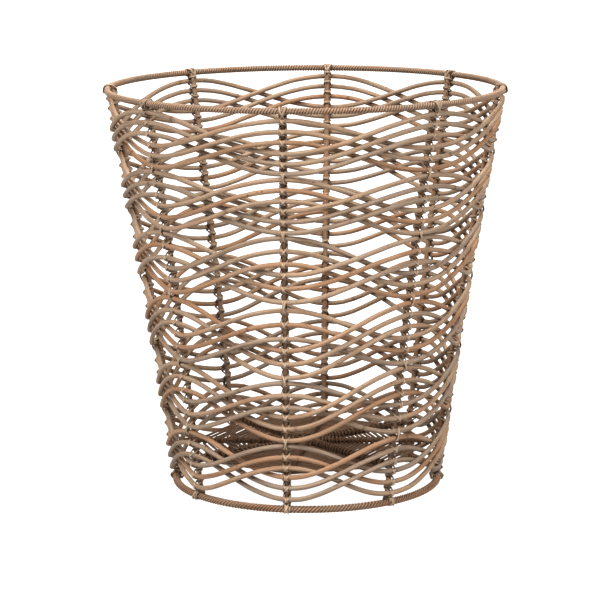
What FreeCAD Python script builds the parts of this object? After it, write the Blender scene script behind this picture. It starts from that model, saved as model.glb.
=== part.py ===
"""Tapered round cane wastebasket, as its separate pieces.

Millimetres, +Z up. The origin is on the floor under the basket's axis. Azimuths are in degrees round
that axis: 0 faces -Y, the front, and they grow towards +X, the right.

Two steel rings, bound in cane, carry eight uprights. Thirty-six bent rods ring the uprights on the
outside. They come in six bands, and each band has three rods of set "a" and three of set "b", which
rise and fall in opposite phase, so that they cross between each pair of uprights. A rod that climbs
to the right passes outside one that descends, and at the uprights all rods lie against the wood.
Peel lashings tie each rod to each upright. A raised floor of one cane strand, wound round eight
spokes, hangs between the uprights.
"""
import FreeCAD
import Part
import os
from math import atan2, ceil, cos, degrees, pi, radians, sin, sqrt
from random import Random

from FreeCAD import Rotation, Vector

# Rings
RIM_RADIUS = 147.5          # centreline of the rim ring
BASE_RADIUS = 100.3         # centreline of the base ring
RING_RISE = 298.5           # from the base ring's centreline to the rim's
RIM_WIRE_RADIUS = 1.8
RIM_BINDING_RADIUS = 2.4
BASE_WIRE_RADIUS = 2.0
BASE_BINDING_RADIUS = 2.6
WORN_DEPTH = 0.1            # the base binding is worn flat where it stands
BINDING_FIT = 0.05          # between a wire and its binding
BINDING_BUTT_DEG = 0.3      # between the two ends of a binding
RIM_BUTT = 152.0            # azimuths at which the bindings' ends meet
BASE_BUTT = 192.0
BASE_HEIGHT = BASE_BINDING_RADIUS - WORN_DEPTH
RIM_HEIGHT = BASE_HEIGHT + RING_RISE

# Uprights: name, azimuth at the base ring, azimuth at the rim, and how the rods tied by hand to it
# leave their even heights: how far they drift up and down, and how far they sink towards the base
UPRIGHTS = (
    ("front", -8.5, -6.1, 3.2, 1.9),
    ("front_right", 37.2, 39.0, -3.2, 1.5),
    ("right", 88.0, 88.0, 1.2, 0.0),
    ("back_right", 126.3, 129.0, -1.6, 1.5),
    ("back", 172.0, 172.8, 1.0, 4.2),
    ("back_left", 216.1, 218.0, -1.4, 0.0),
    ("left", 268.0, 268.0, 1.6, 0.0),
    ("front_left", 305.7, 309.5, -1.8, 1.2),
)
UPRIGHT_RADIUS = 1.9
UPRIGHT_INSET = 3.2         # from the cone through both rings to an upright's centreline
UPRIGHT_WAIST = 2.0         # how much further in it bends, half-way up
UPRIGHT_STEPS = 12          # straight runs in one upright
FRONT, RIGHT = 0, 2         # places in UPRIGHTS

# Rods: height of each band's middle above the base ring, spacing of its rods, half of their swing
BANDS = (
    (272.3, 7.7, 11.9),
    (228.5, 8.3, 11.9),
    (181.9, 9.4, 13.2),
    (129.8, 9.9, 14.2),
    (78.6, 9.6, 13.5),
    (29.0, 9.0, 12.7),
)
RODS_IN_SET = 3
ROD_RADIUS = 1.65
ROD_FIT = 0.05              # between a rod and an upright
ROD_WEAVE = 1.78            # how far a rod moves in or out, to pass another
WEAVE_RAMP = 0.2            # share of a span in which it does so
ROD_BUTT = 0.4              # between a rod's two ends, which meet under a lashing
ROD_JITTER = 0.2            # unevenness of the tied heights
HAND_SEED = 36              # seed of that unevenness
BUTT_START = 3              # upright at which the first rod's ends meet
DRIFT_NODE = 156.0          # height at which the hand-tied drift changes sign
DRIFT_WAVE = 230.0
SINK_START = 80.0           # the lowest rods sink less, up to this height
ROD_STEPS = 10              # straight runs in one span of a rod

# Lashings
PEEL_THICKNESS = 0.5
PEEL_WIDTH = 1.6
PEEL_FIT = 0.15
TIE_CORNER = 2.0
TIE_SLANT = 45.0            # of each strand of a tie, from the upright
COLLAR_WIDTH = 5.0          # lashing turns round a ring
SPOKE_COLLAR_WIDTH = 3.0    # and round the end of a floor spoke
TIE_TOGETHER = 6.0          # rods closer than this share one tie
TIE_FLOOR_GAP = 0.2         # how far a tie stays above the surface that the basket stands on

# Floor
FLOOR_HEIGHT = 30.0         # centrelines of the spokes
SPOKE_RADIUS = 1.7
SPOKE_JOINT_FIT = 0.3       # each side of a spoke that crosses another, not quite square to it
SIDE_SPOKES = (1, 3, 5, 7)  # uprights whose spokes start beside the crossing of the other two
SIDE_SPOKE_START = 7.0
STRAND_RADIUS = 1.1
STRAND_PITCH = 3.0
WEAVE_START = 9.0           # corner radius of the strand's first round
WEAVE_END = 93.5            # corner radius of its last round
STRAND_BEND = 0.6           # each side of a corner, where the strand bends


def ring_radius(height):
    """Radius of the cone through both rings, at a height above the floor."""
    return BASE_RADIUS + (RIM_RADIUS - BASE_RADIUS) * (height - BASE_HEIGHT) / RING_RISE


def on_wall(azimuth, height, offset=0.0):
    """Point at an azimuth and height, offset outwards from the cone through both rings."""
    angle = radians(azimuth)
    radius = ring_radius(height) + offset
    return Vector(radius * sin(angle), -radius * cos(angle), height)


def upright_azimuth(index, height):
    """Azimuth of an upright at a height; the count goes on past a whole turn."""
    turns, place = divmod(index, len(UPRIGHTS))
    at_base, at_rim = UPRIGHTS[place][1:3]
    return at_base + (at_rim - at_base) * (height - BASE_HEIGHT) / RING_RISE + 360.0 * turns


def inset(height):
    """How far inside the cone through both rings an upright's centreline lies."""
    share = min(1.0, max(0.0, (height - BASE_HEIGHT) / RING_RISE))
    return UPRIGHT_INSET + UPRIGHT_WAIST * sin(pi * share)


def upright_point(index, height):
    """Point on an upright's centreline."""
    return on_wall(upright_azimuth(index, height), height, -inset(height))


def upright_heading(index, height):
    """Direction of an upright's centreline, upwards."""
    step = 0.5
    return (upright_point(index, height + step) - upright_point(index, height - step)).normalize()


def smooth(share):
    """Ease from 0 to 1 while share goes from 0 to 1."""
    share = min(1.0, max(0.0, share))
    return share * share * (3 - 2 * share)


def tie_drift(index, level):
    """How far the hand-tied rods are from their even heights along an upright."""
    drift, sink = UPRIGHTS[index % len(UPRIGHTS)][3:]
    share = level / RING_RISE
    wave = sin(pi * share) * sin(2 * pi * (level - DRIFT_NODE) / DRIFT_WAVE)
    return drift * wave - sink * (1 - share) * smooth(level / SINK_START)


def tied_heights(level, spacing, swing, row, rod_set, hand):
    """Height above the floor at which one rod is tied to each upright."""
    heights = []
    for index in range(len(UPRIGHTS)):
        crest = (index % 2 == 0) == (rod_set == "a")
        even = level + (swing if crest else -swing) + (1 - row) * spacing
        uneven = tie_drift(index, even) + hand.uniform(-ROD_JITTER, ROD_JITTER)
        heights.append(BASE_HEIGHT + even + uneven)
    return heights


def rod_point(heights, travel):
    """Point on a rod's centreline; travel counts the spans from the front upright."""
    count = len(heights)
    span = int(travel // 1)
    share = travel - span
    low, high = heights[span % count], heights[(span + 1) % count]
    height = low + (high - low) * (1 - cos(pi * share)) / 2
    start, end = upright_azimuth(span, low), upright_azimuth(span + 1, high)
    side = 1 if high > low else -1
    woven = side * ROD_WEAVE * smooth(share / WEAVE_RAMP) * smooth((1 - share) / WEAVE_RAMP)
    lean = atan2(RIM_RADIUS - BASE_RADIUS, RING_RISE)
    outward = (UPRIGHT_RADIUS + ROD_RADIUS + ROD_FIT) / cos(lean) + woven
    return on_wall(start + (end - start) * share, height, outward - inset(height))


def rod_heading(heights, travel):
    """Direction of a rod's centreline."""
    step = 0.001
    return (rod_point(heights, travel + step) - rod_point(heights, travel - step)).normalize()


def round_bar(stations, radius):
    """Bar of round section through stations, each a place and the bar's heading there."""
    sections = []
    for place, heading in stations:
        side = heading.cross(Vector(0, 0, 1))
        circle = Part.makeCircle(radius)
        circle.Placement = FreeCAD.Placement(place, Rotation(side, heading.cross(side), heading, "ZXY"))
        sections.append(Part.Wire(circle))
    return Part.makeLoft(sections, True, True)


def wave_rod(heights, butt_upright):
    """One bent rod, from its butt joint right round to the other side of the joint."""
    half_butt = ROD_BUTT / (2 * pi * RIM_RADIUS / len(UPRIGHTS)) / 2
    travels = [butt_upright + step / ROD_STEPS for step in range(len(UPRIGHTS) * ROD_STEPS + 1)]
    travels[0] += half_butt
    travels[-1] -= half_butt
    stations = [(rod_point(heights, travel), rod_heading(heights, travel)) for travel in travels]
    return round_bar(stations, ROD_RADIUS)


def wire_ring(radius, wire_radius, height):
    """Welded wire ring."""
    return Part.makeTorus(radius, wire_radius, Vector(0, 0, height))


def ring_sleeve(radius, height, inner, outer, start, turn):
    """Sleeve round a ring's wire, from one azimuth through a turn."""
    centre = Vector(radius, 0, height)
    section = Part.Face(Part.Wire(Part.makeCircle(outer, centre, Vector(0, 1, 0))))
    section = section.cut(Part.Face(Part.Wire(Part.makeCircle(inner, centre, Vector(0, 1, 0)))))
    sleeve = section.revolve(Vector(0, 0, 0), Vector(0, 0, 1), turn)
    sleeve.rotate(Vector(0, 0, 0), Vector(0, 0, 1), start - 90.0)
    return sleeve.Solids[0]


def keep_above(shape, height):
    """The shape without what lies lower than a height."""
    reach = 2 * RIM_RADIUS
    below = Part.makeBox(2 * reach, 2 * reach, reach, Vector(-reach, -reach, height - reach))
    return shape.cut(below)


def binding(radius, height, wire_radius, binding_radius, butt_azimuth):
    """Cane binding of a whole ring, with its butt joint at an azimuth."""
    start = butt_azimuth + BINDING_BUTT_DEG / 2
    inner = wire_radius + BINDING_FIT
    sleeve = ring_sleeve(radius, height, inner, binding_radius, start, 360 - BINDING_BUTT_DEG)
    return keep_above(sleeve, 0).Solids[0]


def collar_outer(binding_radius):
    """Outer radius of a lashing's turns round a bound ring."""
    return binding_radius + BINDING_FIT + PEEL_THICKNESS


def upright(index):
    """One upright, its ends hollowed to hug the lashings of the rings from inside."""
    heights = [BASE_HEIGHT + RING_RISE * step / UPRIGHT_STEPS for step in range(UPRIGHT_STEPS + 1)]
    stations = [(upright_point(index, height), upright_heading(index, height)) for height in heights]
    rod = round_bar(stations, UPRIGHT_RADIUS)
    fit = BINDING_FIT
    rod = rod.cut(wire_ring(BASE_RADIUS, collar_outer(BASE_BINDING_RADIUS) + fit, BASE_HEIGHT))
    rod = rod.cut(wire_ring(RIM_RADIUS, collar_outer(RIM_BINDING_RADIUS) + fit, RIM_HEIGHT))
    return max(rod.Solids, key=lambda piece: piece.Volume)


def rounded_loop(half_width, low, high, width):
    """Flat band that runs round a rounded rectangle, seen along Z."""
    def block(grow, corner):
        size = Vector(2 * (half_width + grow), high - low + 2 * grow, width)
        box = Part.makeBox(size.x, size.y, size.z, Vector(-size.x / 2, low - grow, -width / 2))
        upright_edges = [edge for edge in box.Edges if abs(edge.tangentAt(0).z) > 0.5]
        return box.makeFillet(corner, upright_edges)
    return block(PEEL_THICKNESS, TIE_CORNER + PEEL_THICKNESS).cut(block(0.0, TIE_CORNER))


def crossed_tie(spread):
    """Crossed lashing round an upright on Z and one rod, or two that are spread apart."""
    half_width = sqrt(2) * (spread / 2 + ROD_RADIUS) + PEEL_WIDTH / 2 + PEEL_FIT
    inner = -UPRIGHT_RADIUS - PEEL_FIT
    outer = UPRIGHT_RADIUS + ROD_FIT + 2 * ROD_RADIUS + PEEL_FIT
    loop = rounded_loop(half_width, inner, outer, PEEL_WIDTH)
    left, right = loop.copy(), loop.copy()
    origin, outward = Vector(0, 0, 0), Vector(0, 1, 0)
    left.rotate(origin, outward, TIE_SLANT)
    right.rotate(origin, outward, -TIE_SLANT)
    return left.fuse(right).Solids[0]


def place_on_upright(tie, index, height):
    """Move a tie made round Z to an upright, its Y outwards."""
    azimuth = radians(upright_azimuth(index, height))
    along = upright_heading(index, height)
    outward = Vector(cos(azimuth), sin(azimuth), 0).cross(along)
    placed = tie.copy()
    turn = Rotation(outward.cross(along), outward, along, "ZYX")
    placed.Placement = FreeCAD.Placement(upright_point(index, height), turn)
    return placed


def rod_groups(heights):
    """Heights along one upright, close pairs together."""
    groups = []
    for height in sorted(heights):
        if groups and height - groups[-1][-1] < TIE_TOGETHER:
            groups[-1].append(height)
        else:
            groups.append([height])
    return groups


def spoke_end():
    """Radius at which a floor spoke ends, just inside the lashings of its upright."""
    upright_radius = ring_radius(FLOOR_HEIGHT) - inset(FLOOR_HEIGHT)
    return upright_radius - UPRIGHT_RADIUS - 2 * PEEL_FIT - PEEL_THICKNESS


def lashing(index, heights):
    """All ties on one upright: the rods', both rings' and the floor spoke's."""
    pieces = []
    for group in rod_groups(heights):
        tie = crossed_tie(group[-1] - group[0])
        pieces.append(place_on_upright(tie, index, (group[0] + group[-1]) / 2))
    for radius, height, bound in ((BASE_RADIUS, BASE_HEIGHT, BASE_BINDING_RADIUS),
                                  (RIM_RADIUS, RIM_HEIGHT, RIM_BINDING_RADIUS)):
        turn = degrees(COLLAR_WIDTH / radius)
        start = upright_azimuth(index, height) - turn / 2
        collar = ring_sleeve(radius, height, bound + BINDING_FIT, collar_outer(bound), start, turn)
        pieces.append(keep_above(collar, TIE_FLOOR_GAP).Solids[0])
    outward = floor_direction(index)
    seat = outward * (spoke_end() - SPOKE_COLLAR_WIDTH) + Vector(0, 0, FLOOR_HEIGHT)
    inner = SPOKE_RADIUS + BINDING_FIT
    turns = Part.makeCylinder(inner + PEEL_THICKNESS, SPOKE_COLLAR_WIDTH, seat, outward)
    pieces.append(turns.cut(Part.makeCylinder(inner, SPOKE_COLLAR_WIDTH, seat, outward)))
    return Part.makeCompound(pieces)


def floor_direction(index):
    """Level direction of a floor spoke, towards its upright."""
    azimuth = radians(upright_azimuth(index, FLOOR_HEIGHT))
    return Vector(sin(azimuth), -cos(azimuth), 0)


def floor_arm(index, start):
    """Straight spoke from a radius to just inside its upright."""
    outward = floor_direction(index)
    foot = outward * start + Vector(0, 0, FLOOR_HEIGHT)
    return Part.makeCylinder(SPOKE_RADIUS, spoke_end() - start, foot, outward)


def through_spoke(index, notched_above):
    """Spoke that runs right across the floor, halved where it crosses the other one."""
    opposite = index + len(UPRIGHTS) // 2
    spoke = floor_arm(index, 0).fuse(floor_arm(opposite, 0)).removeSplitter()
    joint = 2 * (SPOKE_RADIUS + SPOKE_JOINT_FIT)
    low = FLOOR_HEIGHT if notched_above else FLOOR_HEIGHT - joint
    notch = Part.makeBox(joint, joint, joint, Vector(-joint / 2, -joint / 2, low))
    notch.rotate(Vector(0, 0, 0), Vector(0, 0, 1), upright_azimuth(index, FLOOR_HEIGHT))
    return spoke.cut(notch).Solids[0]


def floor_weave():
    """The floor's one strand, wound outwards over the spokes, straight from spoke to spoke."""
    height = FLOOR_HEIGHT + SPOKE_RADIUS + BINDING_FIT + STRAND_RADIUS
    rounds = (WEAVE_END - WEAVE_START) / STRAND_PITCH
    corners = []
    for step in range(ceil(rounds * len(UPRIGHTS)) + 1):
        radius = WEAVE_START + STRAND_PITCH * step / len(UPRIGHTS)
        corners.append(floor_direction(step) * radius + Vector(0, 0, height))
    stations = []
    for corner, following in zip(corners, corners[1:]):
        heading = (following - corner).normalize()
        stations.append((corner + heading * STRAND_BEND, heading))
        stations.append((following - heading * STRAND_BEND, heading))
    return round_bar(stations, STRAND_RADIUS)


def build_nodes():
    """Every node of the basket, by name."""
    side_arms = [floor_arm(index, SIDE_SPOKE_START) for index in SIDE_SPOKES]
    nodes = {
        "rim_wire": wire_ring(RIM_RADIUS, RIM_WIRE_RADIUS, RIM_HEIGHT),
        "rim_binding": binding(RIM_RADIUS, RIM_HEIGHT, RIM_WIRE_RADIUS, RIM_BINDING_RADIUS, RIM_BUTT),
        "base_wire": wire_ring(BASE_RADIUS, BASE_WIRE_RADIUS, BASE_HEIGHT),
        "base_binding": binding(BASE_RADIUS, BASE_HEIGHT, BASE_WIRE_RADIUS, BASE_BINDING_RADIUS, BASE_BUTT),
        "floor_spoke_front_back": through_spoke(FRONT, True),
        "floor_spoke_left_right": through_spoke(RIGHT, False),
        "floor_side_spokes": Part.makeCompound(side_arms),
        "floor_weave": floor_weave(),
    }
    hand = Random(HAND_SEED)
    tied = [[] for _ in UPRIGHTS]
    for band, (level, spacing, swing) in enumerate(BANDS):
        for set_place, rod_set in enumerate("ab"):
            for row in range(RODS_IN_SET):
                heights = tied_heights(level, spacing, swing, row, rod_set, hand)
                for index, height in enumerate(heights):
                    tied[index].append(height)
                butt_upright = (BUTT_START + band + 3 * row + 4 * set_place) % len(UPRIGHTS)
                nodes[f"wave_rod_{band + 1}{rod_set}{row + 1}"] = wave_rod(heights, butt_upright)
    for index, fields in enumerate(UPRIGHTS):
        nodes[f"upright_{fields[0]}"] = upright(index)
        nodes[f"lashing_{fields[0]}"] = lashing(index, tied[index])
    return nodes


def main():
    os.makedirs("parts", exist_ok=True)
    for name, shape in build_nodes().items():
        if not shape.isValid():
            print("not valid:", name)
        shape.exportStep(f"parts/{name}.step")
        box = shape.BoundBox
        reach = max(box.XMax, -box.XMin, box.YMax, -box.YMin)
        print(f"{name}: {len(shape.Solids)} solids, {shape.Volume / 1000:.2f} cm3, "
              f"z {box.ZMin:.2f} to {box.ZMax:.2f}, reach {reach:.2f}")


main()
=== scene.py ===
"""Looks of the cane wastebasket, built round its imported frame.

Metres, +Z up. The front faces -Y, and azimuths run from the front towards +X, the right. Every piece
of cane is a strand: a section carried along a path, with the place along and across the cane kept as
an attribute, so that grain and colour follow each strand.
"""

from math import atan2, cos, pi, radians, sin
from random import Random
from typing import NamedTuple

import bpy
import numpy as np
from mathutils import Matrix


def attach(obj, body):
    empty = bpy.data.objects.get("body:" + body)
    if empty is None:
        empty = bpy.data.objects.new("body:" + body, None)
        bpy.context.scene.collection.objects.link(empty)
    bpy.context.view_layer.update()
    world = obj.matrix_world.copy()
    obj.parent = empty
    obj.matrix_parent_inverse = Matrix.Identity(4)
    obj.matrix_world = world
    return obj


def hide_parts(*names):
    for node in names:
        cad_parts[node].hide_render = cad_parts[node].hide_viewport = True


# Rings
RIM_RADIUS = 0.1475
BASE_RADIUS = 0.1003
RING_RISE = 0.2985
BASE_HEIGHT = 0.0025
RIM_HEIGHT = BASE_HEIGHT + RING_RISE
RIM_BINDING_RADIUS = 0.0024
BASE_BINDING_RADIUS = 0.0027

# Winding of each ring's binding: how far apart its ridges are along the ring, how many strips run side
# by side, and how deep the valleys between them are
RIM_WINDING = (0.0021, 3, 0.0005)
BASE_WINDING = (0.0026, 5, 0.0006)
RIDGE_STEPS = 8             # places across one ridge, along the ring and round it
VALLEY_SHARPNESS = 1.3
WINDING_WANDER = ((0.02, 0.12), (0.11, 0.3))    # wave along the ring, and amount in ridges

# Uprights: name, azimuth at the base ring, azimuth at the rim, and how the rods tied by hand to it
# leave their even heights: how far they drift up and down, and how far they sink towards the base
UPRIGHTS = (
    ("front", -8.5, -6.1, 0.0032, 0.0019),
    ("front_right", 37.2, 39.0, -0.0032, 0.0015),
    ("right", 88.0, 88.0, 0.0012, 0.0),
    ("back_right", 126.3, 129.0, -0.0016, 0.0015),
    ("back", 172.0, 172.8, 0.0010, 0.0042),
    ("back_left", 216.1, 218.0, -0.0014, 0.0),
    ("left", 268.0, 268.0, 0.0016, 0.0),
    ("front_left", 305.7, 309.5, -0.0018, 0.0012),
)
UPRIGHT_RADIUS = 0.0019
UPRIGHT_INSET = 0.0032      # from the cone through both rings to an upright's centreline
UPRIGHT_WAIST = 0.0020      # how much further in it bends, half-way up
UPRIGHT_STEPS = 60
UPRIGHT_SIDES = 16

# Rods: height of each band's middle above the base ring, spacing of its rods, half of their swing
BANDS = (
    (0.2723, 0.0077, 0.0119),
    (0.2285, 0.0083, 0.0119),
    (0.1819, 0.0094, 0.0132),
    (0.1298, 0.0099, 0.0142),
    (0.0786, 0.0096, 0.0135),
    (0.0290, 0.0090, 0.0127),
)
# Tone of each band's rods, three of set a and then three of set b
ROD_TONES = (
    ("tan", "tan", "warm", "tan", "pale", "pale"),
    ("pale", "warm", "pale", "pale", "grey", "grey"),
    ("grey", "pale", "warm", "pale", "warm", "pale"),
    ("tan", "warm", "grey", "warm", "tan", "tan"),
    ("grey", "tan", "grey", "tan", "tan", "warm"),
    ("grey", "warm", "tan", "warm", "grey", "grey"),
)
# Warmth and lightness of each tone
TONES = {"pale": (0.40, 1.06), "grey": (0.12, 0.98), "tan": (0.50, 1.00), "warm": (0.92, 1.00)}
RODS_IN_SET = 3
ROD_RADIUS = 0.00165
ROD_GROWTH = 1.08           # how much thicker the natural rods look than that
ROD_FIT = 0.00005           # between a rod and the upright that it is tied to
ROD_WEAVE = 0.00178         # how far a rod bends in or out between uprights, to pass the others
WEAVE_RAMP = 0.2            # share of a span in which it bends that far
ROD_JITTER = 0.0002         # how unevenly a rod is tied, up or down
HAND_SEED = 36
BUTT_START = 3              # upright at which the ends of the first rod meet
DRIFT_NODE = 0.156          # height at which the drift along an upright is nil
DRIFT_WAVE = 0.230          # length of its wave
SINK_START = 0.080          # height from which downwards the sinking fades
ROD_STEPS = 24              # rings of a rod in one span between uprights
ROD_SIDES = 14
BUTT_SHARE = 0.002          # half of the gap between a rod's ends, as a share of a span
ROD_WOBBLE = (0.045, 0.00016)   # wave along a rod, and amount up and down
ROD_RING_MARK = 0.6         # how dark a rod's growth rings are, next to an upright's

# Growth of a natural cane
FIRST_RING = (0.02, 0.4)    # range of the distance from its end to its first growth ring
RING_SPACING = (0.25, 0.55) # range of the distance from one growth ring to the next
RING_MARGIN = 0.01          # no ring is closer than this to its other end
RING_WIDTH = 0.0013
RING_SWELL = 0.045          # how much thicker a cane is on a ring, as a share of its radius
RING_STATIONS = (-0.004, -0.0018, -0.0008, 0.0, 0.0008, 0.0018, 0.004)
CLOSEST_STATIONS = 0.0002
THICKNESS_WANDER = (0.15, 0.022)    # wave along a cane, and amount as a share
OVAL_WANDER = (0.31, 0.02)
OCTAVES = ((1.0, 1.0), (2.3, 0.5), (4.7, 0.25))     # waves in a length, and weight of each

# Lashings
PEEL_WIDTH = 0.0018
PEEL_THICKNESS = 0.0008
TIE_REACH = 0.0026          # how far to the side a lashing strand goes round a rod
TIE_STEP = 0.0034           # from a rod's middle up or down to where the strand is beside the upright
LOOSE_SHARE = 0.12          # share of the ties that have a loose end
RING_TIE_TILT = 24.0        # of its strands from the upright, degrees
RING_TIE_DROP = 0.0020      # from a ring's centreline to its tie's middle, along the upright
RING_TIE_STAND = 0.0008     # how far a ring tie may stand above the rim
TIE_TOGETHER = 0.006        # rods closer than this are tied together
TIE_POINTS = 40             # of a ring tie's loop
TIE_CROSSING = 0.0012       # half of the length in which one strand of it rises over the other
TIE_SLACK = 0.00012
OVER_ROD = ((100.0, 0.85), (60.0, 0.55), (25.0, 0.25))  # angle round a rod, share of the reach
BEHIND_START = 80.0         # angle round an upright from its front, where a strand goes behind it
BEHIND_SWEEP = 200.0        # and how far round it goes there
RING_TURNS = 3              # of peel round a ring, where an upright meets it
RING_TURNS_WIDTH = 0.005
SPOKE_TURNS = 2             # of peel round a floor spoke's end
SPOKE_TURNS_WIDTH = 0.003
LOOSE_WIDTH = 0.0011
LOOSE_THICKNESS = 0.0005

# Colours of each cane: where it is grey, tan and warm, and in its dark lines, which also give the painted
# shade in a binding's valleys and along a peel's sides
CANES = {
    "rod_cane": ((0.285, 0.219, 0.166), (0.338, 0.246, 0.172),
                 (0.325, 0.200, 0.122), (0.070, 0.038, 0.022)),
    "upright_cane": ((0.290, 0.212, 0.153), (0.305, 0.205, 0.136),
                     (0.310, 0.180, 0.104), (0.055, 0.030, 0.018)),
    "peel_cane": ((0.370, 0.290, 0.222), (0.395, 0.292, 0.210),
                  (0.385, 0.243, 0.152), (0.045, 0.024, 0.014)),
    "bound_cane": ((0.300, 0.222, 0.165), (0.330, 0.226, 0.155),
                   (0.320, 0.186, 0.110), (0.030, 0.016, 0.009)),
    "floor_cane": ((0.190, 0.124, 0.080), (0.200, 0.120, 0.070),
                   (0.200, 0.104, 0.054), (0.030, 0.015, 0.008)),
}
# Tone of the strands that aren't rods: warmth, lightness, and a number that sets the grain apart
RIM_TONE = (0.35, 1.28, 5.0)
BASE_TONE = (0.70, 1.10, 9.0)
FLOOR_TONE = (0.4, 0.95, 3.0)
# How often each part of the grain repeats in a metre, across and along the cane
FIBRE_GRAIN = (2600.0, 90.0)
STREAK_GRAIN = (700.0, 28.0)
BLOTCH_GRAIN = (60.0, 22.0)
SPECK_GRAIN = (900.0, 420.0)
FIBRE_DEPTH = 0.00006
CANE_ROUGHNESS = 0.62
PEEL_SHADED_EDGE = 0.0007          # from a peel's middle to where its sides darken: painted shade that outlines the strand, partly also its darker cut edge
WIRE_COLOUR = (0.32, 0.32, 0.33, 1)
RUST_COLOUR = (0.16, 0.08, 0.045, 1)

# Studio; azimuths run from the front towards the right, in degrees
KEY_STRENGTH = 7.7
KEY_LIGHTS = (("key_left", -48.0, 0.55), ("key_right", 48.0, 0.45))     # azimuth, share of the strength
KEY_ELEVATION = 46.0
KEY_WIDTH = 40.0
TOP_STRENGTH = 2.6
TOP_AZIMUTH = 180.0
TOP_ELEVATION = 62.0
TOP_WIDTH = 80.0
SKY_STRENGTH = 0.18
STAGE_REACH = 12.0
STAGE_LINES = 9
FLOOR_GLOW = 0.92
PICTURE_GAMMA = 0.75        # a little more contrast than plain

# Camera
LENS = 156.1
SENSOR = 36.0
CAMERA_PLACE = (0.0, -1.9797, 0.5193)
CAMERA_PITCH = 79.01        # degrees; 90 is level
CAMERA_ROLL = -0.31

# Floor
FLOOR_HEIGHT = 0.030
SPOKE_RADIUS = 0.0017
SPOKE_STEPS = 40
SPOKE_SIDES = 12
STRAND_RADIUS = 0.00085
STRAND_SIDES = 10
STRAND_PITCH = (0.0024, 0.0056)     # at the middle and at the outside
STRAND_JITTER = (0.00015, 0.0007)   # how unevenly it lies there, at most
STRAND_CREEP = 0.0011       # how far outwards it goes while it wraps round a spoke
WRAP_START = -105.0         # angle round the spoke at which it wraps on, and off a turn later
WRAP_END = -75.0
STRAND_WANDER = (0.06, 0.05)
WEAVE_START = 0.009
WEAVE_END = 0.0935
SIDE_SPOKE_START = 0.007


def smooth(share):
    """Ease from 0 to 1 while share goes from 0 to 1."""
    share = np.clip(share, 0.0, 1.0)
    return share * share * (3.0 - 2.0 * share)


def unit(vectors):
    """Vectors made one long."""
    return vectors / np.linalg.norm(vectors, axis=-1, keepdims=True)


def ring_radius(height):
    """Radius of the cone through both rings, at a height."""
    return BASE_RADIUS + (RIM_RADIUS - BASE_RADIUS) * (height - BASE_HEIGHT) / RING_RISE


def on_wall(azimuth, height, offset=0.0):
    """Points at azimuths and heights, offset outwards from the cone through both rings."""
    angle = np.radians(azimuth)
    radius = ring_radius(height) + offset
    return np.stack([radius * np.sin(angle), -radius * np.cos(angle), height + 0.0 * angle], axis=-1)


def upright_azimuth(index, height):
    """Azimuth of an upright at a height; the count goes on past a whole turn."""
    turns, place = divmod(index, len(UPRIGHTS))
    at_base, at_rim = UPRIGHTS[place][1:3]
    return at_base + (at_rim - at_base) * (height - BASE_HEIGHT) / RING_RISE + 360.0 * turns


def inset(height):
    """How far inside the cone through both rings an upright's centreline lies."""
    share = np.clip((height - BASE_HEIGHT) / RING_RISE, 0.0, 1.0)
    return UPRIGHT_INSET + UPRIGHT_WAIST * np.sin(pi * share)


def upright_point(index, height):
    """Point on an upright's centreline."""
    return on_wall(upright_azimuth(index, height), height, -inset(height))


def upright_frame(index, height):
    """Middle of an upright at a height, with its outward, sideways and lengthwise directions."""
    near = 0.0005
    along = unit(upright_point(index, height + near) - upright_point(index, height - near))
    azimuth = radians(upright_azimuth(index, height))
    outward = np.cross([cos(azimuth), sin(azimuth), 0.0], along)
    return upright_point(index, height), outward, np.cross(along, outward), along


def tie_drift(index, level):
    """How far the hand-tied rods are from their even heights along an upright."""
    drift, sink = UPRIGHTS[index % len(UPRIGHTS)][3:]
    share = level / RING_RISE
    wave = sin(pi * share) * sin(2 * pi * (level - DRIFT_NODE) / DRIFT_WAVE)
    return drift * wave - sink * (1 - share) * smooth(level / SINK_START)


def tied_heights(level, spacing, swing, row, rod_set, hand):
    """Heights at which a rod is tied to each upright."""
    heights = []
    for index in range(len(UPRIGHTS)):
        crest = (index % 2 == 0) == (rod_set == "a")
        even = level + (swing if crest else -swing) + (1 - row) * spacing
        uneven = tie_drift(index, even) + hand.uniform(-ROD_JITTER, ROD_JITTER)
        heights.append(BASE_HEIGHT + even + uneven)
    return heights


def rod_points(heights, travel):
    """Centreline of a rod at distances counted in spans from the front upright."""
    count = len(heights)
    span = np.floor(travel).astype(int)
    share = travel - span
    low = np.array([heights[index % count] for index in span])
    high = np.array([heights[(index + 1) % count] for index in span])
    height = low + (high - low) * (1.0 - np.cos(pi * share)) / 2.0
    start = np.array([upright_azimuth(index, at) for index, at in zip(span, low)])
    end = np.array([upright_azimuth(index + 1, at) for index, at in zip(span, high)])
    side = np.where(high > low, 1.0, -1.0)
    woven = side * ROD_WEAVE * smooth(share / WEAVE_RAMP) * smooth((1.0 - share) / WEAVE_RAMP)
    slope = cos(atan2(RIM_RADIUS - BASE_RADIUS, RING_RISE))
    outward = (UPRIGHT_RADIUS + ROD_RADIUS + ROD_FIT) / slope + woven
    return on_wall(start + (end - start) * share, height, outward - inset(height))


# Strands


class Strand(NamedTuple):
    """A section carried along a path. Its normals say which way the section's first axis points."""
    points: np.ndarray
    normals: np.ndarray
    section: np.ndarray     # one for the whole path, or one for each of its points
    closed: bool
    tone: tuple             # warmth, lightness, and a number that sets its grain apart
    marks_and_shade: np.ndarray       # how dark it is at growth rings, and painted shade in a binding's valleys, for each point or vertex


def wander(distance, hand, wave, amount):
    """Smooth unevenness along a distance."""
    total = np.zeros_like(distance)
    for octave, weight in OCTAVES:
        total += weight * np.sin(2 * pi * octave * distance / wave + hand.uniform(0, 2 * pi))
    return amount * total / sum(weight for octave, weight in OCTAVES)


def run_of(points):
    """Distance along a path at each of its points."""
    steps = np.linalg.norm(np.diff(points, axis=0), axis=1)
    return np.concatenate([[0.0], np.cumsum(steps)])


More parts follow.
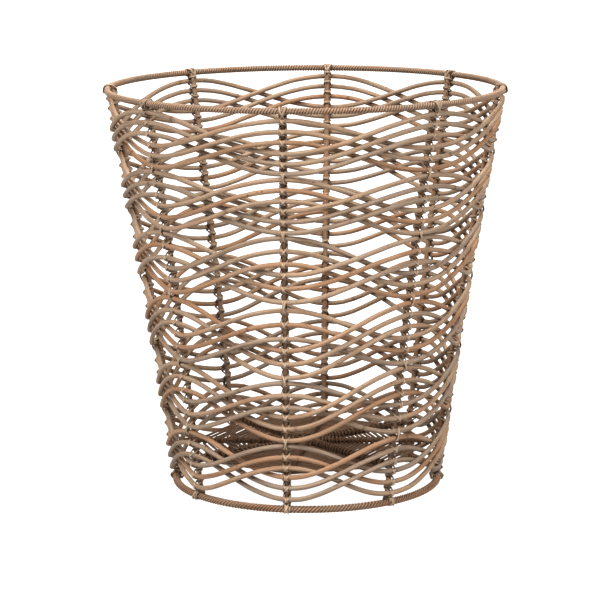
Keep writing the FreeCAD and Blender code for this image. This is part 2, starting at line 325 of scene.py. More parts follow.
def away_from_axis(points):
    """Level directions away from the basket's axis."""
    return unit(points * [1.0, 1.0, 0.0])


def turned_up(level, angle):
    """Directions at angles from a level direction, upwards."""
    return level * np.cos(angle)[:, None] + np.array([0, 0, 1.0]) * np.sin(angle)[:, None]


def round_section(radius, sides):
    """Circle about the path."""
    angle = np.arange(sides) * 2 * pi / sides
    return np.stack([radius * np.cos(angle), radius * np.sin(angle)], axis=1)


def peel_section(width=PEEL_WIDTH, thickness=PEEL_THICKNESS):
    """Flat strip with rounded faces."""
    sides = 10
    boxiness = 0.7
    angle = np.arange(sides) * 2 * pi / sides
    across = np.sign(np.sin(angle)) * np.abs(np.sin(angle)) ** boxiness * width / 2
    through = np.cos(angle) * thickness / 2
    return np.stack([through, across], axis=1)


def strand(points, section, normals=None, closed=False, tone=(0.5, 1.0, 0.0), marks_and_shade=None):
    """Strand with its defaults filled in."""
    if normals is None:
        normals = away_from_axis(points)
    if marks_and_shade is None:
        marks_and_shade = np.zeros(len(points))
    return Strand(points, normals, section, closed, tone, marks_and_shade)


def strand_rings(item):
    """Vertices of a strand, one ring for each point of its path."""
    if item.closed:
        heading = np.roll(item.points, -1, axis=0) - np.roll(item.points, 1, axis=0)
    else:
        heading = np.gradient(item.points, axis=0)
    heading = unit(heading)
    across = unit(np.cross(heading, item.normals))
    normal = np.cross(across, heading)
    section = item.section if item.section.ndim == 3 else item.section[None]
    rings = item.points[:, None] + section[..., 0:1] * normal[:, None] + section[..., 1:2] * across[:, None]
    return rings, np.broadcast_to(section, rings.shape[:2] + (2,))


def strand_faces(count, sides, closed, first):
    """Quads between the rings of a strand, and its two end faces."""
    near = np.arange(count if closed else count - 1)[:, None] * sides
    far = (near + sides) % (count * sides)
    side = np.arange(sides)[None]
    following = (side + 1) % sides
    quads = np.stack([near + side, near + following, far + following, far + side], axis=-1).reshape(-1, 4)
    faces = (quads + first).tolist()
    if not closed:
        faces.append(list(range(first + sides - 1, first - 1, -1)))
        faces.append(list(range(first + (count - 1) * sides, first + count * sides)))
    return faces


def add_attribute(mesh, name, kind, values):
    """A value or a vector for each vertex, for the material to read."""
    attribute = mesh.attributes.new(name, kind, "POINT")
    field = "vector" if kind == "FLOAT_VECTOR" else "value"
    attribute.data.foreach_set(field, np.asarray(values, np.float32).ravel())


def make_piece(name, strands, material, node):
    """One object made of strands, which replaces a CAD node."""
    vertices, faces, cane, tone, marks_and_shade = [], [], [], [], []
    first = 0
    for item in strands:
        rings, section = strand_rings(item)
        count, sides = rings.shape[:2]
        faces += strand_faces(count, sides, item.closed, first)
        first += count * sides
        along = np.broadcast_to(run_of(item.points)[:, None, None], (count, sides, 1))
        vertices.append(rings.reshape(-1, 3))
        cane.append(np.concatenate([section, along], axis=2).reshape(-1, 3))
        tone.append(np.tile(np.array(item.tone), (count * sides, 1)))
        marks_and_shade.append(np.broadcast_to(item.marks_and_shade.reshape(count, -1), (count, sides)).ravel())
    places = np.concatenate(vertices)
    places[:, 2] = np.maximum(places[:, 2], 0.0)    # the ground presses flat what reaches it
    mesh = bpy.data.meshes.new(name)
    mesh.from_pydata(places.tolist(), [], faces)
    add_attribute(mesh, "cane", "FLOAT_VECTOR", np.concatenate(cane))
    add_attribute(mesh, "tone", "FLOAT_VECTOR", np.concatenate(tone))
    add_attribute(mesh, "mark_and_shade", "FLOAT", np.concatenate(marks_and_shade))
    mesh.polygons.foreach_set("use_smooth", np.ones(len(mesh.polygons), bool))
    mesh.materials.append(material)
    piece = bpy.data.objects.new(name, mesh)
    bpy.context.scene.collection.objects.link(piece)
    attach(piece, "root")
    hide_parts(node)


# Materials


class Nodes:
    """Short way to write a node tree."""

    def __init__(self, tree):
        self.tree = tree

    def add(self, kind, inputs=None, **settings):
        node = self.tree.nodes.new(kind)
        for name, value in settings.items():
            setattr(node, name, value)
        for name, value in (inputs or {}).items():
            if isinstance(value, bpy.types.NodeSocket):
                self.tree.links.new(value, node.inputs[name])
            else:
                node.inputs[name].default_value = value
        return node

    def math(self, operation, first, second):
        return self.add("ShaderNodeMath", {0: first, 1: second}, operation=operation).outputs[0]

    def mix(self, factor, first, second, blend="MIX"):
        inputs = {0: factor, 6: first, 7: second}
        return self.add("ShaderNodeMix", inputs, data_type="RGBA", blend_type=blend).outputs[2]

    def noise(self, place, scale, detail=2.0, roughness=0.5):
        inputs = {"Vector": place, "Scale": scale, "Detail": detail, "Roughness": roughness}
        return self.add("ShaderNodeTexNoise", inputs).outputs["Fac"]

    def spread(self, value, low, high, to_low=0.0, to_high=1.0):
        inputs = {"Value": value, "From Min": low, "From Max": high, "To Min": to_low, "To Max": to_high}
        return self.add("ShaderNodeMapRange", inputs).outputs[0]


def new_material(name):
    """Material with a plain shader, and the way to write its nodes."""
    material = bpy.data.materials.new(name)
    material.use_nodes = True
    nodes = Nodes(material.node_tree)
    return material, nodes, material.node_tree.nodes["Principled BSDF"]


def cane_material(name, shaded_edge=None):
    """Cane: warmth goes from grey over tan to warm, with fine lengthwise fibres, blotches and dark specks.

    A split peel is darker beyond a distance from its middle: painted shade that outlines the strand, and
    partly the darker colour of its cut sides.
    """
    material, nodes, shader = new_material(name)
    grey, tan, warm, dark = ((*colour, 1) for colour in CANES[name])
    place = nodes.add("ShaderNodeAttribute", attribute_name="cane").outputs["Vector"]
    tone = nodes.add("ShaderNodeAttribute", attribute_name="tone").outputs["Vector"]
    mark_and_shade = nodes.add("ShaderNodeAttribute", attribute_name="mark_and_shade").outputs["Fac"]
    parts = nodes.add("ShaderNodeSeparateXYZ", {0: tone})
    warmth, lightness, seed = parts.outputs
    apart = nodes.add("ShaderNodeCombineXYZ", {0: seed, 1: seed, 2: seed}).outputs[0]

    def grain(repeats, detail, roughness=0.5):
        across, along = repeats
        scale = (across, across, along)
        scaled = nodes.add("ShaderNodeVectorMath", {0: place, 1: scale}, operation="MULTIPLY")
        moved = nodes.add("ShaderNodeVectorMath", {0: scaled.outputs[0], 1: apart}, operation="ADD")
        return nodes.noise(moved.outputs[0], 1.0, detail, roughness)

    fibres = grain(FIBRE_GRAIN, 3.0, 0.6)
    streaks = grain(STREAK_GRAIN, 2.0)
    blotches = grain(BLOTCH_GRAIN, 2.0)
    specks = grain(SPECK_GRAIN, 1.0)

    drift = nodes.spread(blotches, 0.3, 0.7, -0.28, 0.28)
    shade = nodes.math("ADD", warmth, drift)
    cool = nodes.mix(nodes.spread(shade, 0.0, 0.5), grey, tan)
    colour = nodes.mix(nodes.spread(shade, 0.5, 1.0), cool, warm)
    colour = nodes.mix(nodes.spread(streaks, 0.52, 0.8, 0.0, 0.45), colour, dark, "MULTIPLY")
    colour = nodes.mix(nodes.spread(fibres, 0.3, 0.75, 0.0, 0.30), colour, dark)
    colour = nodes.mix(nodes.spread(specks, 0.68, 0.76, 0.0, 0.75), colour, dark)
    # darker at growth rings, and painted shade in a binding's valleys
    colour = nodes.mix(nodes.math("MULTIPLY", mark_and_shade, 0.85), colour, dark)
    # painted shade along a peel's sides that outlines the strand, partly also its darker cut edge
    if shaded_edge:
        across = nodes.add("ShaderNodeSeparateXYZ", {0: place}).outputs[1]
        cut = nodes.spread(nodes.math("ABSOLUTE", across, 0.0), 0.7 * shaded_edge, 1.4 * shaded_edge, 0.0, 0.8)
        colour = nodes.mix(cut, colour, dark)
    value = nodes.add("ShaderNodeVectorMath", {0: colour, "Scale": lightness}, operation="SCALE").outputs[0]

    height = nodes.math("ADD", fibres, nodes.math("MULTIPLY", streaks, 1.5))
    bump = nodes.add("ShaderNodeBump", {"Strength": 0.6, "Distance": FIBRE_DEPTH, "Height": height})
    nodes.tree.links.new(value, shader.inputs["Base Color"])
    nodes.tree.links.new(bump.outputs[0], shader.inputs["Normal"])
    dullness = nodes.spread(streaks, 0.3, 0.7, CANE_ROUGHNESS - 0.1, CANE_ROUGHNESS + 0.12)
    nodes.tree.links.new(dullness, shader.inputs["Roughness"])
    shader.inputs["Specular IOR Level"].default_value = 0.32
    return material


def steel_material(name):
    """Drawn steel wire, dull and lightly scratched along."""
    material, nodes, shader = new_material(name)
    place = nodes.add("ShaderNodeTexCoord").outputs["Object"]
    scratches = nodes.noise(place, 900.0, 4.0, 0.7)
    rust = nodes.spread(nodes.noise(place, 60.0, 3.0), 0.55, 0.75)
    colour = nodes.mix(rust, WIRE_COLOUR, RUST_COLOUR)
    nodes.tree.links.new(colour, shader.inputs["Base Color"])
    nodes.tree.links.new(nodes.math("SUBTRACT", 1.0, rust), shader.inputs["Metallic"])
    nodes.tree.links.new(nodes.spread(scratches, 0.3, 0.7, 0.3, 0.55), shader.inputs["Roughness"])
    bump = nodes.add("ShaderNodeBump", {"Strength": 0.3, "Distance": 0.00003, "Height": scratches})
    nodes.tree.links.new(bump.outputs[0], shader.inputs["Normal"])
    return material


def stage_material(name):
    """White studio floor, lit from beneath like a light table."""
    material, nodes, shader = new_material(name)
    place = nodes.add("ShaderNodeTexCoord").outputs["Object"]
    cloudy = nodes.noise(place, 3.0, 3.0)
    colour = nodes.mix(cloudy, (0.15, 0.15, 0.15, 1), (0.17, 0.17, 0.17, 1))
    nodes.tree.links.new(colour, shader.inputs["Base Color"])
    shader.inputs["Emission Color"].default_value = (1.0, 1.0, 1.0, 1.0)
    shader.inputs["Emission Strength"].default_value = FLOOR_GLOW
    shader.inputs["Roughness"].default_value = 0.9
    shader.inputs["Specular IOR Level"].default_value = 0.1
    return material


# Rods and uprights


def growth_rings(length, hand):
    """Places of a cane's growth rings along it."""
    places = []
    place = hand.uniform(*FIRST_RING)
    while place < length - RING_MARGIN:
        places.append(place)
        place += hand.uniform(*RING_SPACING)
    return places


def cane_stations(length, steps, rings):
    """Distances along a cane, closer together at its growth rings."""
    near = [place + step for place in rings for step in RING_STATIONS]
    even = np.linspace(0.0, length, steps + 1)
    stations = np.union1d(even, np.clip(near, 0.0, length))
    keep = np.concatenate([[True], np.diff(stations) > CLOSEST_STATIONS])
    return stations[keep]


def ring_swell(distance, rings):
    """How near each place along a cane is to a growth ring: 1 on it, 0 away from it."""
    swell = np.zeros_like(distance)
    for place in rings:
        swell = np.maximum(swell, np.exp(-((distance - place) / RING_WIDTH) ** 2))
    return swell


def cane_section(distance, radius, sides, hand, swell):
    """Section of a natural cane at each place: nearly round, a little thicker at its growth rings."""
    scale = 1.0 + wander(distance, hand, *THICKNESS_WANDER) + RING_SWELL * swell
    oval = 1.0 + wander(distance, hand, *OVAL_WANDER)
    section = round_section(radius, sides)
    return np.stack([scale[:, None] * oval[:, None] * section[:, 0],
                     scale[:, None] / oval[:, None] * section[:, 1]], axis=2)


def wave_rod(name, heights, butt_upright, tone):
    """One wavy rod, its ends meeting under the lashing of an upright."""
    hand = Random(name)
    count = len(heights)
    coarse = np.linspace(butt_upright + BUTT_SHARE, butt_upright + count - BUTT_SHARE, 8 * count + 1)
    path = rod_points(heights, coarse)
    distance = run_of(path)
    rings = growth_rings(distance[-1], hand)
    stations = cane_stations(distance[-1], ROD_STEPS * count, rings)
    points = rod_points(heights, np.interp(stations, distance, coarse))
    points[:, 2] += wander(stations, hand, *ROD_WOBBLE)
    swell = ring_swell(stations, rings)
    section = cane_section(stations, ROD_GROWTH * ROD_RADIUS, ROD_SIDES, hand, swell)
    return strand(points, section, tone=tone, marks_and_shade=ROD_RING_MARK * swell)


def upright(name, index):
    """One upright cane between the rings."""
    hand = Random(name)
    coarse = np.linspace(BASE_HEIGHT, RIM_HEIGHT, 41)
    distance = run_of(np.array([upright_point(index, height) for height in coarse]))
    rings = growth_rings(distance[-1], hand)
    stations = cane_stations(distance[-1], UPRIGHT_STEPS, rings)
    heights = np.interp(stations, distance, coarse)
    points = np.array([upright_point(index, height) for height in heights])
    swell = ring_swell(stations, rings)
    section = cane_section(stations, UPRIGHT_RADIUS, UPRIGHT_SIDES, hand, swell)
    tone = (hand.uniform(0.3, 0.8), hand.uniform(0.9, 1.1), hand.uniform(0, 40))
    return strand(points, section, tone=tone, marks_and_shade=swell)


# Bindings


def ring_binding(radius, height, thickness, winding, hand, tone):
    """Cane wound tightly round a ring: a ridged skin, whose ridges run round it in a helix, with painted
    shade darkening the valleys between them.
    """
    pitch, starts, groove = winding
    length = 2 * pi * radius
    ridges = round(length / pitch)
    steps = RIDGE_STEPS * ridges
    sides = RIDGE_STEPS * starts
    share = np.arange(steps) / steps
    angle = np.arange(sides) * 2 * pi / sides
    fine, coarse = (wander(share * length, hand, wave, amount) for wave, amount in WINDING_WANDER)
    uneven = fine + coarse
    uneven = uneven - np.linspace(0.0, uneven[-1] - uneven[0], steps)
    phase = (ridges * share + uneven)[:, None] + starts * angle[None] / (2 * pi)
    valley = (0.5 + 0.5 * np.cos(2 * pi * phase)) ** VALLEY_SHARPNESS
    profile = thickness - groove * valley
    section = np.stack([profile * np.cos(angle), np.minimum(profile * np.sin(angle), height)], axis=2)
    # the valleys are darkened in colour as well as cut deeper: painted shade
    return strand(on_wall(360.0 * share, height), section, closed=True, tone=tone, marks_and_shade=valley)


# Lashings


def convex_hull(points):
    """Corners of the convex outline round points of a plane, in order."""
    def turns_left(first, second, third):
        return np.cross(np.subtract(second, first), np.subtract(third, second)) > 0

    ordered = sorted(map(tuple, points))
    halves = []
    for sequence in (ordered, ordered[::-1]):
        half = []
        for point in sequence:
            while len(half) > 1 and not turns_left(half[-2], half[-1], point):
                half.pop()
            half.append(point)
        halves += half[:-1]
    return np.array(halves)


def evenly(outline, count):
    """Closed outline as that many points at even distances, slightly rounded."""
    closed = np.vstack([outline, outline[:1]])
    distance = run_of(closed)
    places = np.arange(count) * distance[-1] / count
    even = np.stack([np.interp(places, distance, closed[:, axis]) for axis in (0, 1)], axis=1)
    for _ in range(2):
        even = (np.roll(even, 1, axis=0) + 2 * even + np.roll(even, -1, axis=0)) / 4
    return even


def ellipse(out, along, half_out, half_along):
    """Points round an ellipse whose middle is at a distance out and along."""
    angle = np.arange(TIE_POINTS) * 2 * pi / TIE_POINTS
    return np.stack([out + half_out * np.cos(angle), along + half_along * np.sin(angle)], axis=1)


def tie_loop(index, height, bars, tilt, lift, hand):
    """One strand of a tie, pulled tight round an upright and bars that cross it.

    bars are (distance out from the upright's middle, distance up from the tie's middle, radius).
    lift is how far the strand rises over the other strand of the tie where they cross.
    """
    middle, outward, sideways, along = upright_frame(index, height)
    slant = radians(tilt)
    leaning = along * cos(slant) + sideways * sin(slant)
    clear = PEEL_THICKNESS / 2
    wood = UPRIGHT_RADIUS + clear
    shapes = [ellipse(0.0, 0.0, wood, wood / abs(sin(slant)))]
    for out, up, radius in bars:
        shapes.append(ellipse(out, up / cos(slant), radius + clear, (radius + clear) / cos(slant)))
    outline = evenly(convex_hull(np.concatenate(shapes)), TIE_POINTS)
    centre = outline.mean(axis=0)
    crossing = np.exp(-((outline[:, 1] - centre[1]) / TIE_CROSSING) ** 2)
    outwards = unit(outline - centre)
    outline = outline + outwards * (lift * crossing + hand.uniform(0.0, TIE_SLACK))[:, None]
    points = middle + outline[:, :1] * outward + outline[:, 1:] * leaning
    normals = outwards[:, :1] * outward + outwards[:, 1:] * leaning
    points[:, 2] = np.clip(points[:, 2], clear, RIM_HEIGHT + RIM_BINDING_RADIUS + RING_TIE_STAND - clear)
    tone = (hand.uniform(0.1, 0.5), hand.uniform(0.9, 1.15), hand.uniform(0, 40))
    width = PEEL_WIDTH * hand.uniform(0.85, 1.15)
    return strand(points, peel_section(width), normals, closed=True, tone=tone)


def crossed_tie(index, height, bars, tilt, hand):
    """Two strands that cross in front of the upright and behind it."""
    first, second = hand.sample((0.0, PEEL_THICKNESS), 2)
    left = tilt + hand.uniform(-4.0, 4.0)
    right = tilt + hand.uniform(-4.0, 4.0)
    return [tie_loop(index, height, bars, left, first, hand),
            tie_loop(index, height, bars, -right, second, hand)]


def rod_groups(heights):
    """Heights along one upright, close pairs together."""
    groups = []
    for height in sorted(heights):
        if groups and height - groups[-1][-1] < TIE_TOGETHER:
            groups[-1].append(height)
        else:
            groups.append([height])
    return groups


def front_crossing(half, side, lift):
    """Way of a lashing strand over one tied group of rods, from above one side to below the other.

    half is half the spread of the group, and side is where the strand goes: 1 or -1. Each place is
    (distance sideways, out and up from the upright's middle), and so is each normal.
    """
    clear = ROD_RADIUS + PEEL_THICKNESS / 2
    out = UPRIGHT_RADIUS + ROD_FIT + ROD_RADIUS
    places = [(-side * TIE_REACH, 0.35 * out, half + 1.6 * clear)]
    normals = [(-side, 0.2, 0.3)]
    for angle, across in OVER_ROD:
        rise, forth = sin(radians(angle)), cos(radians(angle))
        places.append((-side * across * TIE_REACH, out + clear * forth, half + clear * rise))
        normals.append((0.0, forth, rise))
    mirrored = [(-sideways, outwards, -up) for sideways, outwards, up in reversed(places)]
    mirrored_normals = [(-sideways, outwards, -up) for sideways, outwards, up in reversed(normals)]
    places += [(0.0, out + clear + lift, 0.0)] + mirrored
    normals += [(0.0, 1.0, 0.0)] + mirrored_normals
    return places, normals


def back_crossing(top, bottom, side, lift):
    """Way of a lashing strand behind the upright, from one side at the top to the other below."""
    places, normals = [], []
    for share in (0.0, 0.2, 0.4, 0.5, 0.6, 0.8, 1.0):
        angle = side * radians(BEHIND_START + BEHIND_SWEEP * share)
        radius = UPRIGHT_RADIUS + PEEL_THICKNESS / 2 + lift * sin(pi * share)
        places.append((radius * sin(angle), radius * cos(angle), top + (bottom - top) * share))
        normals.append((sin(angle), cos(angle), 0.0))
    return places, normals


def running_strand(index, groups, side, hand):
    """One of the two peel strands that run down an upright, crossing over every rod and behind it."""
    points, directions = [], []

    def add(way, height):
        for (sideways, out, up), normal in zip(*way):
            middle, outward, across, along = upright_frame(index, height + up)
            points.append(middle + sideways * across + out * outward)
            directions.append(normal[0] * across + normal[1] * outward + normal[2] * along)

    above = groups[-1][-1] + TIE_STEP
    for place, group in enumerate(reversed(groups)):
        middle, half = (group[0] + group[-1]) / 2, (group[-1] - group[0]) / 2
        lift = PEEL_THICKNESS * ((place + (side > 0)) % 2)
        top = middle + half + TIE_STEP
        add(back_crossing(max(above, top) - middle, top - middle, side, lift), middle)
        add(front_crossing(half, side, lift), middle)
        above = middle - half - TIE_STEP
    add(back_crossing(0.0, -TIE_STEP, side, 0.0), above)
    coarse, towards = np.array(points), np.array(directions)
    distance = run_of(coarse)
    stations = np.linspace(0.0, distance[-1], 2 * len(coarse))
    path, normals = (np.stack([np.interp(stations, distance, values[:, axis]) for axis in range(3)], axis=1)
                     for values in (coarse, towards))
    for values in (path, normals):
        values[1:-1] = (values[:-2] + 2 * values[1:-1] + values[2:]) / 4
    tone = (hand.uniform(0.1, 0.5), hand.uniform(0.95, 1.15), hand.uniform(0, 40))
    return strand(path, peel_section(), unit(normals), tone=tone)


def ring_turns(index, radius, height, thickness, hand):
    """Turns of peel wound round a ring where an upright meets it."""
    share = np.linspace(0.0, 1.0, 16 * RING_TURNS + 1)
    azimuth = upright_azimuth(index, height) + np.degrees((share - 0.5) * RING_TURNS_WIDTH / radius)
    angle = 2 * pi * RING_TURNS * share + hand.uniform(0, 2 * pi)
    centre = on_wall(azimuth, height)
    normals = turned_up(away_from_axis(centre), angle)
    points = centre + normals * (thickness + PEEL_THICKNESS / 2)
    points[:, 2] = np.maximum(points[:, 2], PEEL_THICKNESS / 2)
    tone = (hand.uniform(0.2, 0.6), hand.uniform(0.8, 1.0), hand.uniform(0, 40))
    return strand(points, peel_section(), normals, tone=tone)


def loose_end(index, height, hand):
    """Short cut end of peel that stands off a tie."""
    middle, outward, sideways, along = upright_frame(index, height)
    side = hand.choice((-1, 1))
    length = hand.uniform(0.002, 0.005)
    heading = unit(sideways * side * hand.uniform(0.5, 1.0) + outward * hand.uniform(-0.3, 0.8)
                   + along * hand.uniform(-1.0, 1.0))
    start = middle + sideways * side * UPRIGHT_RADIUS * 1.1 + along * hand.uniform(-0.002, 0.002)
    share = np.linspace(0.0, 1.0, 6)[:, None]
    points = start + heading * length * share + along * 0.0008 * share ** 2
    taper = 1.0 - 0.7 * share[:, :, None] ** 2
    section = peel_section(LOOSE_WIDTH, LOOSE_THICKNESS)[None] * taper
    tone = (hand.uniform(0.2, 0.5), hand.uniform(0.7, 0.95), hand.uniform(0, 40))
    return strand(points, section, np.tile(outward, (len(points), 1)), tone=tone)


def spoke_turns(index, hand):
    """Turns of peel round the end of a floor spoke."""
    outward, sideways = floor_directions(index)
    share = np.linspace(0.0, 1.0, 14 * SPOKE_TURNS + 1)
    angle = 2 * pi * SPOKE_TURNS * share
    normals = turned_up(sideways, angle)
    centre = outward * (spoke_end() - SPOKE_TURNS_WIDTH * (1 - share))[:, None] + [0, 0, FLOOR_HEIGHT]
    points = centre + normals * (SPOKE_RADIUS + PEEL_THICKNESS / 2)
    tone = (hand.uniform(0.2, 0.5), hand.uniform(0.6, 0.8), hand.uniform(0, 40))
    return strand(points, peel_section(), normals, tone=tone)


def lashing(index, heights):
    """All ties on one upright."""
    hand = Random(f"lashing {index}")
    groups = rod_groups(heights)
    strands = [running_strand(index, groups, side, hand) for side in (-1, 1)]
    strands += [loose_end(index, group[0], hand) for group in groups if hand.random() < LOOSE_SHARE]
    rings = ((BASE_RADIUS, BASE_HEIGHT, BASE_BINDING_RADIUS, RING_TIE_DROP),
             (RIM_RADIUS, RIM_HEIGHT, RIM_BINDING_RADIUS, -RING_TIE_DROP))
    for radius, height, thickness, shift in rings:
        bars = [(UPRIGHT_INSET, -shift, thickness + PEEL_THICKNESS)]
        strands += crossed_tie(index, height + shift, bars, RING_TIE_TILT, hand)
        strands.append(ring_turns(index, radius, height, thickness, hand))
    strands.append(spoke_turns(index, hand))
    return strands


# Floor


def floor_directions(index):
    """Level directions of a floor spoke: outwards, and sideways towards the next spoke."""
    azimuth = radians(upright_azimuth(index, FLOOR_HEIGHT))
    return np.array([sin(azimuth), -cos(azimuth), 0.0]), np.array([cos(azimuth), sin(azimuth), 0.0])


def spoke_end():
    """Radius at which a floor spoke ends, just inside its upright."""
    return ring_radius(FLOOR_HEIGHT) - inset(FLOOR_HEIGHT) - UPRIGHT_RADIUS - PEEL_THICKNESS


def spoke(name, ends):
    """Straight floor spoke between two points of the floor."""
    hand = Random(name)
    start, end = ends
    length = np.linalg.norm(end - start)
    rings = growth_rings(length, hand)
    stations = cane_stations(length, SPOKE_STEPS, rings)
    points = start + (end - start) * (stations / length)[:, None]
    swell = ring_swell(stations, rings)
    section = cane_section(stations, SPOKE_RADIUS, SPOKE_SIDES, hand, swell)
    up = np.tile([0.0, 0.0, 1.0], (len(points), 1))
    tone = (hand.uniform(0.2, 0.6), hand.uniform(0.8, 1.0), hand.uniform(0, 40))
    return strand(points, section, up, tone=tone, marks_and_shade=swell)


def floor_point(index, radius):
    """Point on the middle of a floor spoke."""
    return floor_directions(index)[0] * radius + [0, 0, FLOOR_HEIGHT]


def floor_strand(hand):
    """The floor's strand: straight from spoke to spoke, and once round each."""
    wrap = SPOKE_RADIUS + STRAND_RADIUS
    turn = np.linspace(radians(WRAP_START), radians(WRAP_END) + 2 * pi, 15)
    points, normals = [], []
    step, reach = 0, WEAVE_START
    while reach < WEAVE_END:
        outward, sideways = floor_directions(step)
        spread = (reach - WEAVE_START) / (WEAVE_END - WEAVE_START)
        pitch, jitter = (at_middle + (outside - at_middle) * spread
                         for at_middle, outside in (STRAND_PITCH, STRAND_JITTER))
        radius = reach + hand.uniform(-jitter, jitter)
        around = turned_up(sideways, turn)
        creep = outward * ((turn - turn.mean()) / (2 * pi) * STRAND_CREEP)[:, None]
        if step:
            end = outward * radius + around[0] * wrap + creep[0] + [0, 0, FLOOR_HEIGHT]
            start = points[-1][-1]
            share = np.linspace(0.0, 1.0, 8)[1:-1, None]
            points.append(start + (end - start) * share)
            normals.append(np.tile([0, 0, -1.0], (len(share), 1)))
        points.append(outward * radius + around * wrap + creep + [0, 0, FLOOR_HEIGHT])
        normals.append(around)
        reach += pitch / len(UPRIGHTS)
        step += 1
    path = np.concatenate(points)
    distance = run_of(path)
    scale = 1.0 + wander(distance, hand, *STRAND_WANDER)
    section = round_section(STRAND_RADIUS, STRAND_SIDES)[None] * scale[:, None, None]
    return strand(path, section, np.concatenate(normals), tone=FLOOR_TONE)


# Building


def build_rods(material):
    """All wavy rods. Returns the heights tied to each upright."""
    hand = Random(HAND_SEED)
    looks = Random("rod looks")
    tied = [[] for _ in UPRIGHTS]
    for band, (level, spacing, swing) in enumerate(BANDS):
        for set_place, rod_set in enumerate("ab"):
            for row in range(RODS_IN_SET):
                heights = tied_heights(level, spacing, swing, row, rod_set, hand)
                for index, height in enumerate(heights):
                    tied[index].append(height)
                butt_upright = (BUTT_START + band + 3 * row + 4 * set_place) % len(UPRIGHTS)
                name = f"{band + 1}{rod_set}{row + 1}"
                warmth, lightness = TONES[ROD_TONES[band][RODS_IN_SET * set_place + row]]
                warmth += looks.uniform(-0.08, 0.08)
                tone = (warmth, lightness * looks.uniform(0.96, 1.04), looks.uniform(0, 40))
                rod = wave_rod(name, heights, butt_upright, tone)
                make_piece(f"cane_rod_{name}", [rod], material, f"wave_rod_{name}")
    return tied


def build_uprights(material, peel, tied):
    """Each upright and its lashing."""
    for index, (name, *_) in enumerate(UPRIGHTS):
        cane = upright(name, index)
        ties = lashing(index, tied[index])
        make_piece(f"cane_upright_{name}", [cane], material, f"upright_{name}")
        make_piece(f"peel_lashing_{name}", ties, peel, f"lashing_{name}")


def build_bindings(material):
    """The cane wound round both rings."""
    rim = ring_binding(RIM_RADIUS, RIM_HEIGHT, RIM_BINDING_RADIUS, RIM_WINDING,
                       Random("rim"), RIM_TONE)
    base = ring_binding(BASE_RADIUS, BASE_HEIGHT, BASE_BINDING_RADIUS, BASE_WINDING,
                        Random("base"), BASE_TONE)
    make_piece("wound_rim", [rim], material, "rim_binding")
    make_piece("wound_base", [base], material, "base_binding")


def build_floor(material):
    """The floor: two spokes that go right across, four short ones, and the strand woven round them."""
    through = {"floor_spoke_front_back": 0, "floor_spoke_left_right": 2}
    for node, index in through.items():
        ends = floor_point(index, spoke_end()), floor_point(index + 4, spoke_end())
        make_piece(f"cane_{node}", [spoke(node, ends)], material, node)
    arms = [spoke(f"arm {index}", (floor_point(index, SIDE_SPOKE_START), floor_point(index, spoke_end())))
            for index in (1, 3, 5, 7)]
    make_piece("cane_floor_side_spokes", arms, material, "floor_side_spokes")
    weave = floor_strand(Random("floor"))
    make_piece("cane_floor_weave", [weave], material, "floor_weave")


def finish_wires(nodes):
    """The ring wires stay as they are in the frame, and get a steel finish."""
    steel = steel_material("ring_steel")
    for node in ("rim_wire", "base_wire"):
        mesh = nodes[node].data
        mesh.materials.clear()
        mesh.materials.append(steel)


# Studio


def build_stage():
    """Wide pale floor."""
    lines = np.linspace(-STAGE_REACH, STAGE_REACH, STAGE_LINES)
    vertices = [(x, y, 0.0) for y in lines for x in lines]
    corners = [across + STAGE_LINES * along
               for along in range(STAGE_LINES - 1) for across in range(STAGE_LINES - 1)]
    faces = [(corner, corner + 1, corner + 1 + STAGE_LINES, corner + STAGE_LINES) for corner in corners]
    mesh = bpy.data.meshes.new("studio_floor")
    mesh.from_pydata(vertices, [], faces)
    mesh.materials.append(stage_material("studio_paper"))
    floor = bpy.data.objects.new("studio_floor", mesh)
    bpy.context.scene.collection.objects.link(floor)


def add_soft_light(name, azimuth, elevation, width, strength):
    """Far light with soft shadows; its azimuth runs from the front towards the right."""
    light = bpy.data.lights.new(name, "SUN")
    light.angle = radians(width)
    light.energy = strength
    lamp = bpy.data.objects.new(name, light)
    bpy.context.scene.collection.objects.link(lamp)
    lamp.location = (0.0, 0.0, 1.0)
    lamp.rotation_euler = (radians(90.0 - elevation), 0.0, radians(azimuth))


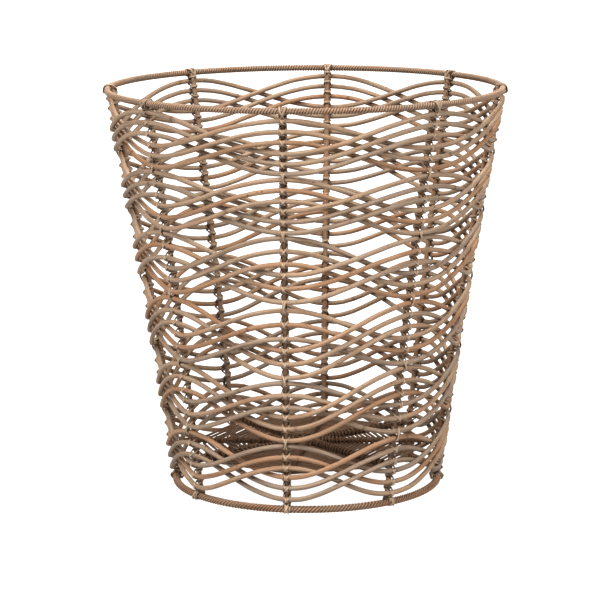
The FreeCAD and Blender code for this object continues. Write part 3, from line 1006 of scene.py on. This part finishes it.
def build_lights():
    """Two soft key lights in front, one from above and behind, and a faint sky."""
    for name, azimuth, share in KEY_LIGHTS:
        add_soft_light(name, azimuth, KEY_ELEVATION, KEY_WIDTH, share * KEY_STRENGTH)
    add_soft_light("top", TOP_AZIMUTH, TOP_ELEVATION, TOP_WIDTH, TOP_STRENGTH)
    world = bpy.data.worlds.new("studio")
    world.use_nodes = True
    background = world.node_tree.nodes["Background"]
    background.inputs["Color"].default_value = (1.0, 1.0, 1.0, 1.0)
    background.inputs["Strength"].default_value = SKY_STRENGTH
    bpy.context.scene.world = world


def build_camera():
    """Long lens in front of the basket, a little above its rim."""
    lens = bpy.data.cameras.new("camera")
    lens.sensor_width = SENSOR
    lens.lens = LENS
    camera = bpy.data.objects.new("camera", lens)
    bpy.context.scene.collection.objects.link(camera)
    place = Matrix.Translation(CAMERA_PLACE)
    pitch = Matrix.Rotation(radians(CAMERA_PITCH), 4, "X")
    roll = Matrix.Rotation(radians(CAMERA_ROLL), 4, "Z")
    camera.matrix_world = place @ pitch @ roll
    bpy.context.scene.camera = camera


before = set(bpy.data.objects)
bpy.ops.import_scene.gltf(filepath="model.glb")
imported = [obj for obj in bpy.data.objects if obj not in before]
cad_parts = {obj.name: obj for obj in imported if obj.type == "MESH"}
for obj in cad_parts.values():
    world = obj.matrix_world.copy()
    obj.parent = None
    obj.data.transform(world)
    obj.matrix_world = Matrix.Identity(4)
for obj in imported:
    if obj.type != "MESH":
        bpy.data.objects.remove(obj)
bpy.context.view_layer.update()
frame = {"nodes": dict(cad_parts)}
rod_cane = cane_material("rod_cane")
upright_cane = cane_material("upright_cane")
peel_cane = cane_material("peel_cane", shaded_edge=PEEL_SHADED_EDGE)
bound_cane = cane_material("bound_cane")
floor_cane = cane_material("floor_cane")
tied_rods = build_rods(rod_cane)
build_uprights(upright_cane, peel_cane, tied_rods)
build_bindings(bound_cane)
build_floor(floor_cane)
finish_wires(frame["nodes"])
build_stage()
build_lights()
build_camera()
bpy.context.scene.view_settings.view_transform = "Standard"
bpy.context.scene.view_settings.gamma = PICTURE_GAMMA
